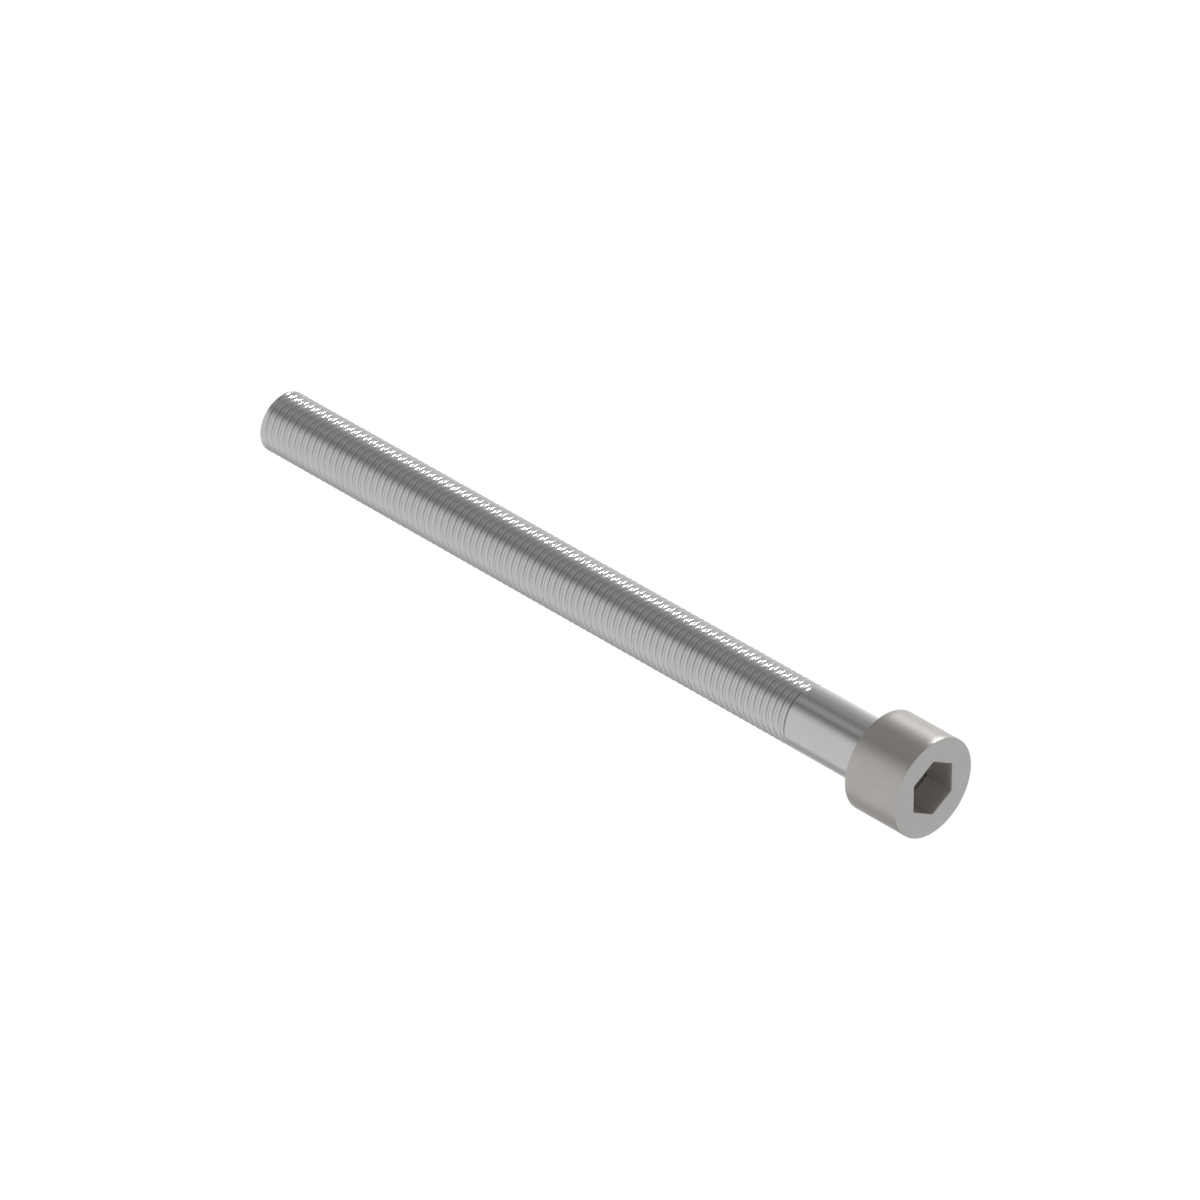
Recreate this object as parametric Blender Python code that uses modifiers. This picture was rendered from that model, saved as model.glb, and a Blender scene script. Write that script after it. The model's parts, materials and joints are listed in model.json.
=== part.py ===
"""Socket head screw: a fine-threaded shank with a hexagon-broached cylindrical head fixed on its end.

The screw lies along +X. The origin is the centre of the flat tip, and the head is at the far end.
Each piece is modelled upright about Z, from the tip upwards, and then laid down along X.
"""

import math

import bmesh
import bpy
from mathutils import Matrix

# Driving dimensions, in metres.
NOMINAL_DIAMETER = 0.010
THREAD_PITCH = 0.00125
THREAD_LENGTH = 0.110
PLAIN_LENGTH = 0.015
HEAD_DIAMETER = 0.016
HEAD_HEIGHT = 0.010
SOCKET_FLATS = 0.008
SOCKET_DEPTH = 0.005
TIP_CHAMFER = 0.00025
EDGE_BREAK = 0.0002

# The joint inside the head: the plain shank seats in a counterbore, and a hexagonal tenon fills the
# back of the broached hole, where its end makes the floor of the socket.
COUNTERBORE_DEPTH = 0.0025
ASSEMBLY_GAP = 0.0003

# Sizes that follow from those above.
SHANK_RADIUS = NOMINAL_DIAMETER / 2
HEAD_RADIUS = HEAD_DIAMETER / 2
THREAD_DEPTH = 0.6134 * THREAD_PITCH
ROOT_RADIUS = SHANK_RADIUS - THREAD_DEPTH
CREST_RADIUS = 0.994 * SHANK_RADIUS
SEAT_HEIGHT = THREAD_LENGTH + PLAIN_LENGTH
TOP_HEIGHT = SEAT_HEIGHT + HEAD_HEIGHT
SOCKET_FLOOR = TOP_HEIGHT - SOCKET_DEPTH
COUNTERBORE_TOP = SEAT_HEIGHT + COUNTERBORE_DEPTH
SHANK_END = COUNTERBORE_TOP - ASSEMBLY_GAP

# How finely the round shapes are divided.
THREAD_STEPS = 20
SHANK_STEPS = 60
HEAD_STEPS = 48

# The finishes, with colours in linear light.
POLISHED_COLOUR = (0.47, 0.47, 0.47)
POLISHED_ROUGHNESS = 0.18
SATIN_COLOUR = (0.376, 0.352, 0.328)
SATIN_ROUGHNESS = 0.3

MERGE_DISTANCE = 1e-6
OVERLAP = 0.002


def clear_scene():
    for thing in list(bpy.data.objects):
        bpy.data.objects.remove(thing)


def new_collection(name):
    collection = bpy.data.collections.new(name)
    bpy.context.scene.collection.children.link(collection)
    return collection


def steel(name, colour, roughness):
    material = bpy.data.materials.new(name)
    material.use_nodes = True
    shader = material.node_tree.nodes["Principled BSDF"]
    shader.inputs["Base Color"].default_value = (*colour, 1)
    shader.inputs["Metallic"].default_value = 1
    shader.inputs["Roughness"].default_value = roughness
    return material


def link_mesh(name, form, collection):
    """Put the bmesh form into the scene as an object with this name."""
    mesh = bpy.data.meshes.new(name)
    form.to_mesh(mesh)
    form.free()
    thing = bpy.data.objects.new(name, mesh)
    collection.objects.link(thing)
    return thing


def outline(name, points, collection):
    """Edges through the points, each given as a radius and a height."""
    form = bmesh.new()
    corners = [form.verts.new((radius, 0, height)) for radius, height in points]
    for start, end in zip(corners, corners[1:]):
        form.edges.new((start, end))
    return link_mesh(name, form, collection)


def add_screw(thing, steps, pitch=0.0, turns=1):
    """Sweep the outline about Z into a smooth-shaded skin, rising by the pitch on every turn."""
    screw = thing.modifiers.new("Screw", "SCREW")
    screw.axis = "Z"
    screw.angle = 2 * math.pi
    screw.screw_offset = pitch
    screw.iterations = turns
    screw.steps = screw.render_steps = steps
    screw.use_merge_vertices = True
    screw.merge_threshold = MERGE_DISTANCE
    screw.use_normal_flip = True
    screw.use_smooth_shade = True


def add_boolean(target, operation, tool):
    boolean = target.modifiers.new(f"{operation} {tool.name}", "BOOLEAN")
    boolean.operation = operation
    boolean.solver = "EXACT"
    boolean.object = tool


def turned(name, points, steps, collection):
    """A solid of revolution, with the outline given from the bottom of the axis to the top."""
    thing = outline(name, points, collection)
    add_screw(thing, steps)
    return thing


def hex_prism(name, flats, bottom, top, collection):
    """An upright prism whose six sides are this distance apart, with two of them facing +Y and -Y."""
    radius = flats / math.sqrt(3)
    height = top - bottom
    place = Matrix.Translation((0, 0, (bottom + top) / 2))
    form = bmesh.new()
    bmesh.ops.create_cone(
        form, cap_ends=True, segments=6, radius1=radius, radius2=radius, depth=height,
        matrix=place @ Matrix.Rotation(math.pi / 2, 4, "Z"),
    )
    return link_mesh(name, form, collection)


def as_cutter(thing):
    thing.hide_render = True
    thing.display_type = "WIRE"
    return thing


def close_end(form, height):
    """Close one open end of the thread's skin with a fan to the axis at this height."""
    middle = THREAD_LENGTH / 2
    rim = [
        edge for edge in form.edges
        if edge.is_boundary and (edge.verts[0].co.z > middle) == (height > middle)
    ]
    made = bmesh.ops.extrude_edge_only(form, edges=rim)["geom"]
    corners = [part for part in made if isinstance(part, bmesh.types.BMVert)]
    bmesh.ops.pointmerge(form, verts=corners, merge_co=(0, 0, height))


def thread_body(collection, cutters):
    """A rod with a right-hand thread, longer than needed at both ends, so that it can be trimmed."""
    top = THREAD_PITCH / (2 * THREAD_STEPS)
    ridge = outline(
        "thread_ridge",
        (
            (ROOT_RADIUS, top - THREAD_PITCH),
            (CREST_RADIUS, top - THREAD_PITCH / 2),
            (ROOT_RADIUS, top),
        ),
        cutters,
    )
    turns = math.ceil((THREAD_LENGTH + OVERLAP) / THREAD_PITCH) + 2
    add_screw(ridge, THREAD_STEPS, THREAD_PITCH, turns)
    bpy.context.view_layer.update()
    depsgraph = bpy.context.evaluated_depsgraph_get()
    skin = bpy.data.meshes.new_from_object(ridge.evaluated_get(depsgraph))
    form = bmesh.new()
    form.from_mesh(skin)
    bpy.data.objects.remove(ridge)
    bmesh.ops.remove_doubles(form, verts=form.verts, dist=MERGE_DISTANCE)
    close_end(form, -2 * THREAD_PITCH)
    close_end(form, (turns + 1) * THREAD_PITCH)
    bmesh.ops.recalc_face_normals(form, faces=form.faces)
    for face in form.faces:
        face.smooth = True
    return link_mesh("threaded_shank", form, collection)


def make_shank(parts, cutters):
    shank = thread_body(parts, cutters)
    clear = SHANK_RADIUS + OVERLAP
    envelope = turned(
        "envelope",
        (
            (0, 0),
            (SHANK_RADIUS - TIP_CHAMFER, 0),
            (clear, TIP_CHAMFER + OVERLAP),
            (clear, THREAD_LENGTH + OVERLAP / 2),
            (0, THREAD_LENGTH + OVERLAP / 2),
        ),
        SHANK_STEPS,
        cutters,
    )
    plain = turned(
        "plain_shank",
        (
            (0, THREAD_LENGTH),
            (SHANK_RADIUS, THREAD_LENGTH),
            (SHANK_RADIUS, SHANK_END),
            (0, SHANK_END),
        ),
        SHANK_STEPS,
        cutters,
    )
    tenon = hex_prism(
        "tenon", SOCKET_FLATS - 2 * ASSEMBLY_GAP, SHANK_END - OVERLAP, SOCKET_FLOOR, cutters
    )
    # Half a step round, their edges miss those of the thread.
    envelope.rotation_euler.z = plain.rotation_euler.z = math.pi / SHANK_STEPS
    add_boolean(shank, "INTERSECT", as_cutter(envelope))
    add_boolean(shank, "UNION", as_cutter(plain))
    add_boolean(shank, "UNION", as_cutter(tenon))
    return shank


def make_head(parts, cutters):
    head = turned(
        "socket_head",
        (
            (0, SEAT_HEIGHT),
            (HEAD_RADIUS - EDGE_BREAK, SEAT_HEIGHT),
            (HEAD_RADIUS, SEAT_HEIGHT + EDGE_BREAK),
            (HEAD_RADIUS, TOP_HEIGHT - EDGE_BREAK),
            (HEAD_RADIUS - EDGE_BREAK, TOP_HEIGHT),
            (0, TOP_HEIGHT),
        ),
        HEAD_STEPS,
        parts,
    )
    counterbore = turned(
        "counterbore",
        (
            (0, SEAT_HEIGHT - OVERLAP),
            (SHANK_RADIUS + ASSEMBLY_GAP, SEAT_HEIGHT - OVERLAP),
            (SHANK_RADIUS + ASSEMBLY_GAP, COUNTERBORE_TOP),
            (0, COUNTERBORE_TOP),
        ),
        SHANK_STEPS,
        cutters,
    )
    broach = hex_prism(
        "broach", SOCKET_FLATS, COUNTERBORE_TOP - OVERLAP / 2, TOP_HEIGHT + OVERLAP, cutters
    )
    # A flat between two edges faces straight down, so that the screw lies still on its side.
    head.rotation_euler.z = math.pi / HEAD_STEPS
    add_boolean(head, "DIFFERENCE", as_cutter(counterbore))
    add_boolean(head, "DIFFERENCE", as_cutter(broach))
    return head


def main():
    clear_scene()
    parts = new_collection("parts")
    cutters = new_collection("cutters")
    shank = make_shank(parts, cutters)
    shank.data.materials.append(steel("polished_steel", POLISHED_COLOUR, POLISHED_ROUGHNESS))
    head = make_head(parts, cutters)
    head.data.materials.append(steel("satin_steel", SATIN_COLOUR, SATIN_ROUGHNESS))
    bpy.context.view_layer.update()
    lay_down = Matrix.Rotation(math.pi / 2, 4, "Y")
    for thing in (*parts.objects, *cutters.objects):
        thing.matrix_world = lay_down @ thing.matrix_world
    bpy.context.view_layer.update()


main()
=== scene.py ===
"""Socket head screw: the finished look of the head and the threaded shank, and the studio round them.

The screw lies along +X, from the centre of its tip. Both pieces go round the X axis, so their sections are
worked out as (x, radius): a place along the screw, and how far out from the axis it is.
"""

import json
import math

import bmesh
import bpy
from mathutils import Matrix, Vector

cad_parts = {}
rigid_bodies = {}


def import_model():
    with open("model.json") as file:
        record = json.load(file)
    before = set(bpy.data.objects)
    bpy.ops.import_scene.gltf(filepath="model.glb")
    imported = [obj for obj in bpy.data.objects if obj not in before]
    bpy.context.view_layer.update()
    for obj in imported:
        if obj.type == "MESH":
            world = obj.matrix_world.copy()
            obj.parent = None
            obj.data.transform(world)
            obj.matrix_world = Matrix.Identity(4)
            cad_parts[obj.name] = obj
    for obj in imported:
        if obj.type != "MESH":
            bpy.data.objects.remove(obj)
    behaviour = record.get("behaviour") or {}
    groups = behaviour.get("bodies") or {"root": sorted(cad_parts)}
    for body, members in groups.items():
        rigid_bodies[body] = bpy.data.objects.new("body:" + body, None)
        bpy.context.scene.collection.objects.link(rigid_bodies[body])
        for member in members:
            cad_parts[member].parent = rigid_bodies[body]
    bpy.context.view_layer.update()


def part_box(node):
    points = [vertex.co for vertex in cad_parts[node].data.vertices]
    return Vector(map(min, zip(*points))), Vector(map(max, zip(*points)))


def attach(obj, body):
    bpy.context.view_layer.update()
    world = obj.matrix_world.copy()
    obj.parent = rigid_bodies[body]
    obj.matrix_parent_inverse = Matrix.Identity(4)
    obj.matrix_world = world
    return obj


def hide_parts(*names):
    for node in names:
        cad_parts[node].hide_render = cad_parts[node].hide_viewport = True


for thing in list(bpy.data.objects):
    bpy.data.objects.remove(thing)

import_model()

MM = 0.001

# The screw's sizes. The head's radius is the true one, and the facets of the CAD head lie a little inside it.
HEAD_RADIUS = 8 * MM
SHANK_RADIUS = 5 * MM
CREST_RADIUS = SHANK_RADIUS - 0.03 * MM
THREAD_LENGTH = 110 * MM
SOCKET_FLATS = 8 * MM
COUNTERBORE_DEPTH = 2.5 * MM
JOINT_GAP = 0.02 * MM

# How far the outer edges are broken, and those of the socket and inside the joint.
EDGE = 0.1 * MM
LIP = 0.12 * MM

# Places along the screw.
HEAD_LOW, HEAD_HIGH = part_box("socket_head")
SHANK_LOW, SHANK_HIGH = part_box("threaded_shank")
TIP = SHANK_LOW.x
THREAD_END = TIP + THREAD_LENGTH
SEAT = HEAD_LOW.x
COUNTERBORE_TOP = SEAT + COUNTERBORE_DEPTH
SOCKET_FLOOR = SHANK_HIGH.x
TOP = HEAD_HIGH.x

# The thread's section from the crest, where it starts, to the root, half a turn on. It is given by its
# slopes, with the places in parts of a turn: gentle over the crest, steep on the flank, gentle in the root.
PITCH = 1.25 * MM
CREST_EDGE = 0.18
ROOT_EDGE = 0.32
CORNER = 0.03
CREST_SLOPE = 0.6
FLANK_SLOPE = 2.1
ROOT_SLOPE = 0.35

# How the thread fades in from the tip, and out at the step where the plain shank begins.
TIP_PLAIN = 0.1 * MM
TIP_FADE = 0.9 * MM
END_FADE = 0.08 * PITCH
STEP_WIDTH = 0.08 * MM

# How finely the pieces are divided: round the axis, round an edge, and by extra rings on straight stretches.
HEAD_STEPS = 144
SHANK_STEPS = 72
EDGE_STEPS = 4
LIP_STEPS = 3
LONG_RINGS = 10
SIDE_RINGS = 8
FLOOR_RINGS = 4
SHORT_RINGS = 3

# Edges that turn by more than this stay sharp, in degrees.
HEAD_CREASE = 40
SHANK_CREASE = 50
MERGE_DISTANCE = 2e-7


# ---------------------------------------------------------------- mesh building

def link_mesh(name, form):
    """Put the bmesh form into the scene as an object with this name."""
    mesh = bpy.data.meshes.new(name)
    form.to_mesh(mesh)
    form.free()
    thing = bpy.data.objects.new(name, mesh)
    bpy.context.scene.collection.objects.link(thing)
    return thing


def skin(name, profile, steps, crease):
    """A closed surface round the X axis, from profile(angle), which always gives as many points.

    The last profile is a whole turn on from the first one, and has to meet it.
    """
    form = bmesh.new()
    columns = []
    for step in range(steps + 1):
        angle = 2 * math.pi * step / steps
        columns.append([
            form.verts.new((x, radius * math.cos(angle), radius * math.sin(angle)))
            for x, radius in profile(angle)
        ])
    for here, there in zip(columns, columns[1:]):
        for i in range(len(here) - 1):
            form.faces.new((here[i], here[i + 1], there[i + 1], there[i]))
    bmesh.ops.remove_doubles(form, verts=form.verts, dist=MERGE_DISTANCE)
    bmesh.ops.dissolve_degenerate(form, edges=form.edges, dist=MERGE_DISTANCE)
    bmesh.ops.recalc_face_normals(form, faces=form.faces)
    piece = link_mesh(name, form)
    piece.data.shade_smooth()
    piece.data.set_sharp_from_angle(angle=math.radians(crease))
    return piece


def spread(start, end, count):
    """Evenly spaced points from start to end, leaving both out."""
    return [
        (
            start[0] + (end[0] - start[0]) * i / (count + 1),
            start[1] + (end[1] - start[1]) * i / (count + 1),
        )
        for i in range(1, count + 1)
    ]


def rounded_edge(middle, start):
    """A quarter circle round this middle, from an angle in degrees, where 0 is towards +X."""
    points = []
    for step in range(EDGE_STEPS + 1):
        angle = math.radians(start + 90 * step / EDGE_STEPS)
        points.append((middle[0] + EDGE * math.cos(angle), middle[1] + EDGE * math.sin(angle)))
    return points


def hexagon(flats, angle):
    """How far out a hexagon's side is in this direction. Two of its sides face +Y and -Y."""
    sixth = math.pi / 3
    return flats / 2 / math.cos((angle + sixth / 2) % sixth - sixth / 2)


def smooth_step(value):
    value = min(max(value, 0), 1)
    return value * value * (3 - 2 * value)


# ---------------------------------------------------------------- the head

def head_profile(angle):
    """Round the section of the head: over the socket's lip and the face, down the side and back inside."""
    wall = hexagon(SOCKET_FLATS, angle)
    slant = wall / (SOCKET_FLATS / 2)
    bore = SHANK_RADIUS + JOINT_GAP
    lip = []
    for step in range(LIP_STEPS + 1):
        tilt = math.pi / 2 * step / LIP_STEPS
        lip.append((TOP - LIP + LIP * math.sin(tilt), wall + LIP * slant * (1 - math.cos(tilt))))
    face = spread(lip[-1], (TOP, HEAD_RADIUS - EDGE), LONG_RINGS)
    rim = rounded_edge((TOP - EDGE, HEAD_RADIUS - EDGE), 0)
    side = spread(rim[-1], (SEAT + EDGE, HEAD_RADIUS), SIDE_RINGS)
    back = rounded_edge((SEAT + EDGE, HEAD_RADIUS - EDGE), 90)
    seat = spread(back[-1], (SEAT, bore + LIP), SHORT_RINGS)
    mouth = [(SEAT, bore + LIP), (SEAT + LIP, bore)]
    counterbore = [(COUNTERBORE_TOP, bore), (COUNTERBORE_TOP, wall)]
    walls = spread(counterbore[-1], lip[0], LONG_RINGS)
    return lip + face + rim + side + back + seat + mouth + counterbore + walls + lip[:1]


# ---------------------------------------------------------------- the shank

def one_turn():
    """The thread's section over one turn, as (part of a turn, depth in pitches), from crest to crest."""
    stops = (
        (0, 0), (CREST_EDGE / 2, CREST_SLOPE / 2), (CREST_EDGE, CREST_SLOPE),
        (CREST_EDGE + CORNER, FLANK_SLOPE), (ROOT_EDGE - CORNER, FLANK_SLOPE),
        (ROOT_EDGE, ROOT_SLOPE), ((ROOT_EDGE + 0.5) / 2, ROOT_SLOPE / 2), (0.5, 0),
    )
    falling = [(0, 0)]
    for (start, before), (end, after) in zip(stops, stops[1:]):
        depth = falling[-1][1] + (end - start) * (before + after) / 2
        falling.append((end, depth))
    rising = [(1 - phase, depth) for phase, depth in reversed(falling[1:-1])]
    return falling + rising


TURN = one_turn()
THREAD_TURNS = int(THREAD_LENGTH / PITCH) + 2


def thread_profile(lead):
    """The thread along one side of the shank, the side that its helix reaches this far along each turn.

    It starts a turn early and stops a turn late, and the points past its ends are gathered there.
    """
    points = []
    for turn in range(THREAD_TURNS):
        for phase, depth in TURN:
            x = TIP + lead + (turn + phase - 1) * PITCH
            x = min(max(x, TIP), THREAD_END)
            depth *= PITCH * smooth_step((x - TIP - TIP_PLAIN) / TIP_FADE)
            depth *= smooth_step((THREAD_END - x) / END_FADE)
            points.append((x, min(CREST_RADIUS - depth, SHANK_RADIUS - EDGE + x - TIP)))
    return points


def shank_profile(angle):
    """The section of the shank, from the middle of the tip to the middle of the socket's floor."""
    thread = thread_profile(PITCH * angle / (2 * math.pi))
    tip = [(TIP, 0)] + spread((TIP, 0), thread[0], SHORT_RINGS)
    plain = THREAD_END + STEP_WIDTH
    end = COUNTERBORE_TOP - JOINT_GAP
    tenon = hexagon(SOCKET_FLATS - 2 * JOINT_GAP, angle)
    shoulder = [(plain, CREST_RADIUS), (plain, SHANK_RADIUS)]
    body = spread(shoulder[-1], (end - LIP, SHANK_RADIUS), LONG_RINGS)
    seat = [(end - LIP, SHANK_RADIUS), (end, SHANK_RADIUS - LIP), (end, tenon)]
    corner = [(SOCKET_FLOOR - LIP / 2, tenon), (SOCKET_FLOOR, tenon - LIP / 2)]
    sides = spread(seat[-1], corner[0], SHORT_RINGS)
    floor = spread(corner[-1], (SOCKET_FLOOR, 0), FLOOR_RINGS) + [(SOCKET_FLOOR, 0)]
    return tip + thread + shoulder + body + seat + sides + corner + floor


# ---------------------------------------------------------------- materials

# Colours in linear light. On both pieces a broad cloud of one colour and fine flecks of another are mixed
# faintly into the main ones.
SIDE_COLOUR = (0.400, 0.380, 0.357)
FACE_COLOUR = (0.376, 0.373, 0.367)
# Painted light: a paler colour for the socket, to lift the shade inside it.
SOCKET_PAINTED_LIGHT = (0.56, 0.535, 0.505)
SATIN_CLOUD = (0.33, 0.325, 0.315)
SATIN_FLECK = (0.47, 0.46, 0.445)
SHANK_COLOUR = (0.485, 0.485, 0.483)
# Painted shade: the colour that darkens the thread's roots.
ROOT_PAINTED_SHADE = (0.30, 0.30, 0.30)
POLISHED_CLOUD = (0.43, 0.43, 0.43)
POLISHED_FLECK = (0.58, 0.58, 0.575)

BUMP_HEIGHT = 0.02 * MM
SATIN_BUMP = 0.12
POLISHED_BUMP = 0.06


class Nodes:
    """A short way to write a material's or a world's nodes."""

    def __init__(self, tree):
        self.tree = tree
        tree.nodes.clear()

    def add(self, kind, inputs=(), **settings):
        node = self.tree.nodes.new(kind)
        for key, value in settings.items():
            setattr(node, key, value)
        for key, value in dict(inputs).items():
            self.feed(node.inputs[key], value)
        return node

    def feed(self, socket, value):
        if isinstance(value, bpy.types.NodeSocket):
            self.tree.links.new(value, socket)
        else:
            socket.default_value = value

    def output(self, kind, surface):
        self.tree.links.new(surface, self.add(kind).inputs[0])

    def math(self, operation, a, b=0.0, clamp=False):
        node = self.add("ShaderNodeMath", {0: a, 1: b}, operation=operation, use_clamp=clamp)
        return node.outputs[0]

    def remap(self, value, low, high, to_low=0.0, to_high=1.0):
        """Ease from to_low, where the value is low, to to_high, where it is high, and level off past both."""
        inputs = {"Value": value, "From Min": low, "From Max": high, "To Min": to_low, "To Max": to_high}
        return self.add("ShaderNodeMapRange", inputs, interpolation_type="SMOOTHSTEP").outputs[0]

    def noise(self, vector, scale, detail=2.0):
        inputs = {"Vector": vector, "Scale": scale, "Detail": detail, "Roughness": 0.5}
        return self.add("ShaderNodeTexNoise", inputs).outputs["Fac"]

    def mix(self, factor, a, b):
        node = self.add("ShaderNodeMix", data_type="RGBA")
        self.feed(node.inputs[0], factor)
        for socket, value in ((node.inputs[6], a), (node.inputs[7], b)):
            self.feed(socket, value if isinstance(value, bpy.types.NodeSocket) else (*value, 1))
        return node.outputs[2]

    def choose(self, factor, a, b):
        """The same for plain values."""
        node = self.add("ShaderNodeMix", data_type="FLOAT")
        for socket, value in zip(node.inputs[0:1] + node.inputs[2:4], (factor, a, b)):
            self.feed(socket, value)
        return node.outputs[0]

    def combine(self, x, y, z):
        return self.add("ShaderNodeCombineXYZ", {0: x, 1: y, 2: z}).outputs[0]


def new_nodes(name):
    material = bpy.data.materials.new(name)
    material.use_nodes = True
    return material, Nodes(material.node_tree)


def in_millimetres(n):
    """A place on the screw: along the axis, across it in y and z, and how far out from it."""
    place = n.add("ShaderNodeTexCoord").outputs["Object"]
    parts = n.add("ShaderNodeSeparateXYZ", {0: place}).outputs
    along, y, z = (n.math("MULTIPLY", parts[axis], 1 / MM) for axis in range(3))
    out = n.math("SQRT", n.math("ADD", n.math("MULTIPLY", y, y), n.math("MULTIPLY", z, z)))
    return along, y, z, out


def tool_marks(n, place, y, z, fineness, drift):
    """Fine lines that run round the axis, close together in place and wandering slowly as they go round."""
    return n.noise(n.combine(
        n.math("MULTIPLY", place, fineness), n.math("MULTIPLY", y, drift), n.math("MULTIPLY", z, drift),
    ), 1.0)


def finish_steel(n, colour, roughness, height, strength):
    bump = n.add("ShaderNodeBump", {"Strength": strength, "Distance": BUMP_HEIGHT, "Height": height})
    shader = n.add("ShaderNodeBsdfPrincipled", {
        "Base Color": colour, "Metallic": 1.0, "Roughness": roughness, "Normal": bump.outputs[0],
    })
    n.output("ShaderNodeOutputMaterial", shader.outputs[0])


def satin_steel():
    """The head: fine satin on the side, a turned face, and a socket painted paler, as painted light that
    lifts the shade inside it.
    """
    material, n = new_nodes("satin_steel_turned")
    along, y, z, out = in_millimetres(n)
    top = TOP / MM
    corner = SOCKET_FLATS / math.sqrt(3) / MM
    # The face and the socket have soft limits, about 0.1 mm wide.
    on_face = n.remap(along, top - 0.15, top - 0.05)
    in_socket = n.math(
        "MULTIPLY", n.remap(out, corner + 0.13, corner + 0.03), n.remap(along, top - 0.03, top - 0.1)
    )
    position = n.combine(along, y, z)
    cloud = n.noise(position, 0.35, detail=3.0)
    fine = n.noise(position, 9.0)
    grain = n.noise(position, 28.0)
    marks = n.choose(on_face, tool_marks(n, along, y, z, 22.0, 0.5), tool_marks(n, out, y, z, 16.0, 0.12))

    colour = n.mix(on_face, SIDE_COLOUR, FACE_COLOUR)
    colour = n.mix(n.remap(cloud, 0.3, 0.7, 0.0, 0.22), colour, SATIN_CLOUD)
    colour = n.mix(n.remap(fine, 0.45, 0.75, 0.0, 0.12), colour, SATIN_FLECK)
    # Painted light: the socket is mixed towards a paler colour to lift its shade.
    colour = n.mix(n.math("MULTIPLY", in_socket, 0.9), colour, SOCKET_PAINTED_LIGHT)
    roughness = n.math("ADD", n.remap(cloud, 0.25, 0.75, 0.34, 0.36), n.math("MULTIPLY", in_socket, 0.2))
    roughness = n.math("ADD", roughness, n.remap(fine, 0.3, 0.7, -0.03, 0.03))
    height = n.math("ADD", n.math("MULTIPLY", grain, 0.8), marks)
    finish_steel(n, colour, roughness, height, SATIN_BUMP)
    return material


def polished_steel():
    """The shank: a ground plain part, and a rolled thread, with painted shade that darkens its roots
    slightly.
    """
    material, n = new_nodes("polished_steel_rolled")
    along, y, z, out = in_millimetres(n)
    end = THREAD_END / MM
    radius = SHANK_RADIUS / MM
    threaded = n.remap(along, end + 0.1, end - 0.1)
    # Painted shade: a mask for the thread's roots, which are darkened slightly.
    painted_root_shade = n.math("MULTIPLY", threaded, n.remap(out, radius - 0.1, radius - 0.55))
    position = n.combine(along, y, z)
    cloud = n.noise(position, 0.3, detail=3.0)
    fine = n.noise(position, 7.0)

    colour = n.mix(n.remap(cloud, 0.3, 0.7, 0.0, 0.15), SHANK_COLOUR, POLISHED_CLOUD)
    colour = n.mix(n.math("MULTIPLY", painted_root_shade, 0.08), colour, ROOT_PAINTED_SHADE)
    colour = n.mix(n.remap(fine, 0.5, 0.8, 0.0, 0.10), colour, POLISHED_FLECK)
    roughness = n.math("ADD", n.remap(cloud, 0.25, 0.75, 0.12, 0.17), n.math("MULTIPLY", threaded, 0.06))
    roughness = n.math("ADD", roughness, n.remap(fine, 0.3, 0.7, -0.02, 0.02))
    height = tool_marks(n, along, y, z, 26.0, 0.4)
    finish_steel(n, colour, roughness, height, POLISHED_BUMP)
    return material


# ---------------------------------------------------------------- the studio

# The sky, going up from the horizon in front (-Y), over the top, and down behind. Each stop is an angle in
# degrees round the X axis and a brightness. All that is below the horizon is as bright as the first stop.
SKY = (
    (0, 1.00), (26, 1.00), (36, 0.95), (45, 0.80), (53, 0.55), (61, 0.36), (68, 0.29), (76, 0.43),
    (85, 0.52), (94, 0.44), (103, 0.31), (112, 0.37), (123, 0.46), (134, 0.47), (146, 0.60),
    (159, 0.70), (172, 0.86), (180, 0.95),
)

# The floor glows by itself, with a painted shadow: it glows more faintly right under the screw. The rest of
# it is pure white in a picture.
FLOOR_HEIGHT = -0.6
FLOOR_HALF_WIDTH = 20
PAINTED_SHADOW_RADIUS, PAINTED_SHADOW_GLOW = 0.30, 0.58
PALE_RADIUS, PALE_GLOW = 0.56, 1.02

# The key light stands behind the screw, some 40 degrees up, and makes the bright line along its upper side.
KEY_DIRECTION = (-0.195, 0.755, 0.62)
KEY_DISTANCE = 1.6
KEY_SIZE = (0.34, 0.27)
KEY_WATTS = 17

# The camera, fitted to the photo. Its azimuth is from -Y towards +X.
CAMERA_AZIMUTH = 44.85
CAMERA_ELEVATION = 34.62
CAMERA_DISTANCE = 1.6544
CAMERA_TARGET = (0.06734, 0, 0)
CAMERA_LENS = 336.52
SENSOR_WIDTH = 36


def make_world():
    world = bpy.data.worlds.new("studio")
    bpy.context.scene.world = world
    world.use_nodes = True
    n = Nodes(world.node_tree)
    direction = n.add("ShaderNodeTexCoord").outputs["Generated"]
    parts = n.add("ShaderNodeSeparateXYZ", {0: direction}).outputs
    turn = n.math("ARCTAN2", parts[2], n.math("MULTIPLY", parts[1], -1.0))
    place = n.math("DIVIDE", turn, math.pi, clamp=True)
    ramp = n.add("ShaderNodeValToRGB", {"Fac": place})
    stops = ramp.color_ramp.elements
    while len(stops) < len(SKY):
        stops.new(0.5)
    for stop, (angle, level) in zip(stops, SKY):
        stop.position = angle / 180
        stop.color = (level, level, level, 1)
    background = n.add("ShaderNodeBackground", {"Color": ramp.outputs[0], "Strength": 1.0})
    n.output("ShaderNodeOutputWorld", background.outputs[0])


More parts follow.
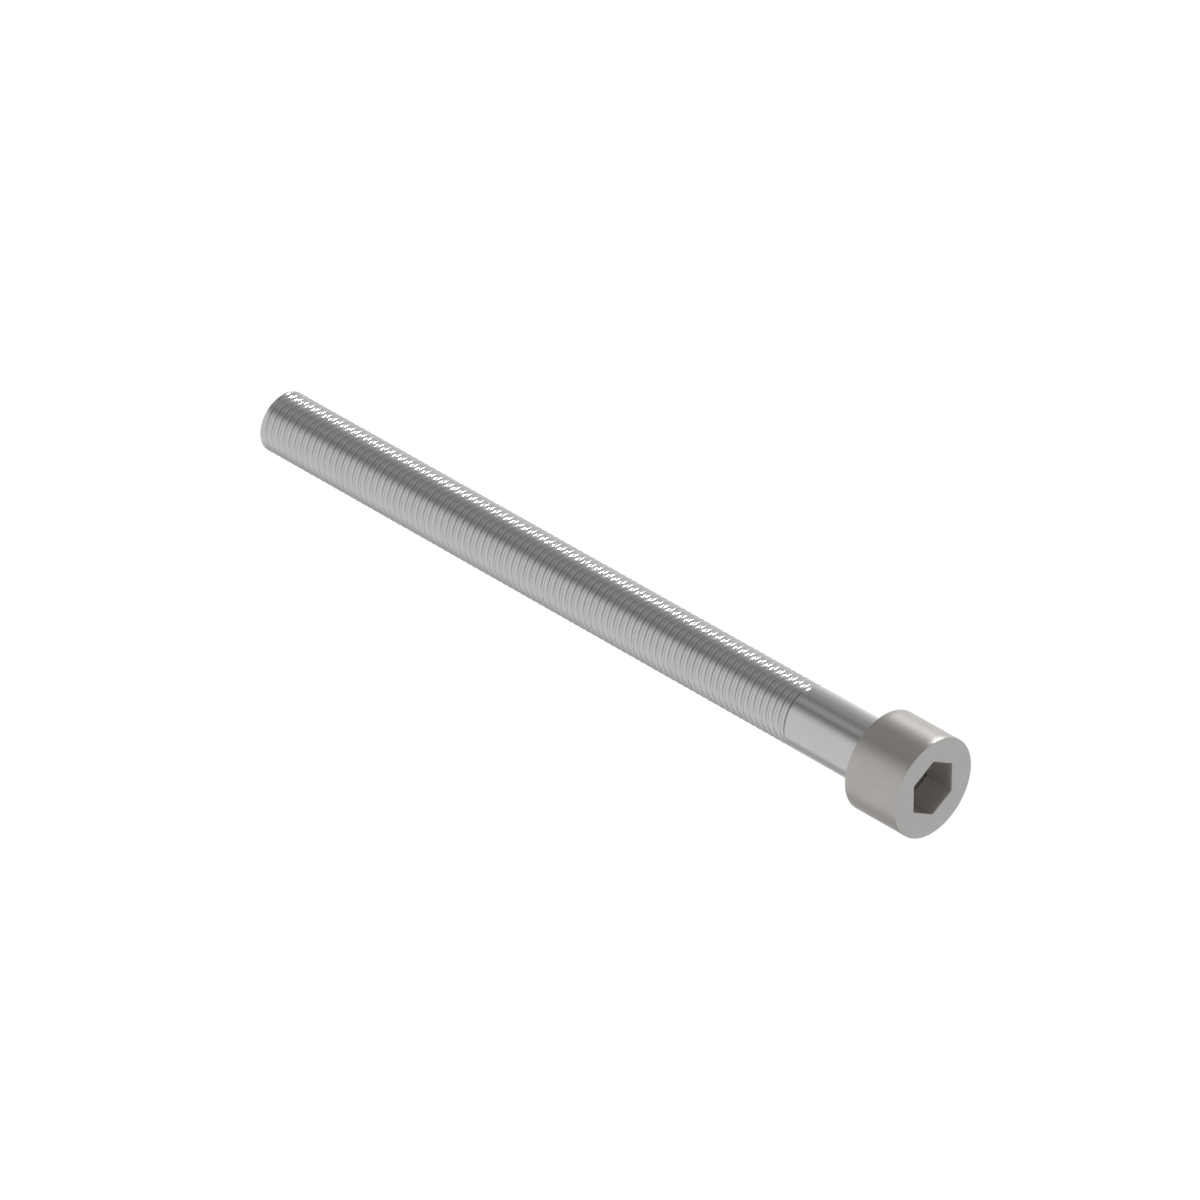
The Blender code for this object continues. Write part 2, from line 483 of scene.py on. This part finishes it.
def make_floor():
    form = bmesh.new()
    bmesh.ops.create_grid(form, x_segments=2, y_segments=2, size=FLOOR_HALF_WIDTH)
    floor = link_mesh("floor", form)
    floor.location.z = FLOOR_HEIGHT
    material, n = new_nodes("glowing_floor_with_painted_shadow")
    place = n.add("ShaderNodeTexCoord").outputs["Object"]
    far = n.add("ShaderNodeVectorMath", {0: place}, operation="LENGTH").outputs["Value"]
    # Painted shadow: the glow is fainter near the middle, right under the screw.
    level = n.remap(far, PAINTED_SHADOW_RADIUS, PALE_RADIUS, PAINTED_SHADOW_GLOW, PALE_GLOW)
    glow = n.add("ShaderNodeEmission", {"Color": (1, 1, 1, 1), "Strength": level})
    n.output("ShaderNodeOutputMaterial", glow.outputs[0])
    floor.data.materials.append(material)


def make_key_light():
    light = bpy.data.lights.new("key", "AREA")
    light.shape = "RECTANGLE"
    light.size, light.size_y = KEY_SIZE
    light.energy = KEY_WATTS
    lamp = bpy.data.objects.new("key", light)
    middle = Vector((TOP / 2, 0, 0))
    lamp.location = middle + Vector(KEY_DIRECTION).normalized() * KEY_DISTANCE
    lamp.rotation_euler = (lamp.location - middle).to_track_quat("Z", "Y").to_euler()
    bpy.context.scene.collection.objects.link(lamp)


def make_camera():
    azimuth, elevation = math.radians(CAMERA_AZIMUTH), math.radians(CAMERA_ELEVATION)
    toward = Vector((
        math.sin(azimuth) * math.cos(elevation),
        -math.cos(azimuth) * math.cos(elevation),
        math.sin(elevation),
    ))
    camera = bpy.data.objects.new("camera", bpy.data.cameras.new("camera"))
    camera.data.sensor_width = SENSOR_WIDTH
    camera.data.lens = CAMERA_LENS
    camera.data.clip_end = 100
    camera.location = Vector(CAMERA_TARGET) + toward * CAMERA_DISTANCE
    camera.rotation_euler = toward.to_track_quat("Z", "Y").to_euler()
    bpy.context.scene.collection.objects.link(camera)
    bpy.context.scene.camera = camera


# ---------------------------------------------------------------- the whole picture

bpy.context.scene.view_settings.view_transform = "Standard"
make_camera()
make_world()
make_floor()
make_key_light()

head = skin("screw_head", head_profile, HEAD_STEPS, HEAD_CREASE)
head.data.materials.append(satin_steel())
shank = skin("screw_shank", shank_profile, SHANK_STEPS, SHANK_CREASE)
shank.data.materials.append(polished_steel())

for piece, node, slot in (
    (head, "socket_head", "satin_steel"),
    (shank, "threaded_shank", "polished_steel"),
):
    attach(piece, "root")
    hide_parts(node)
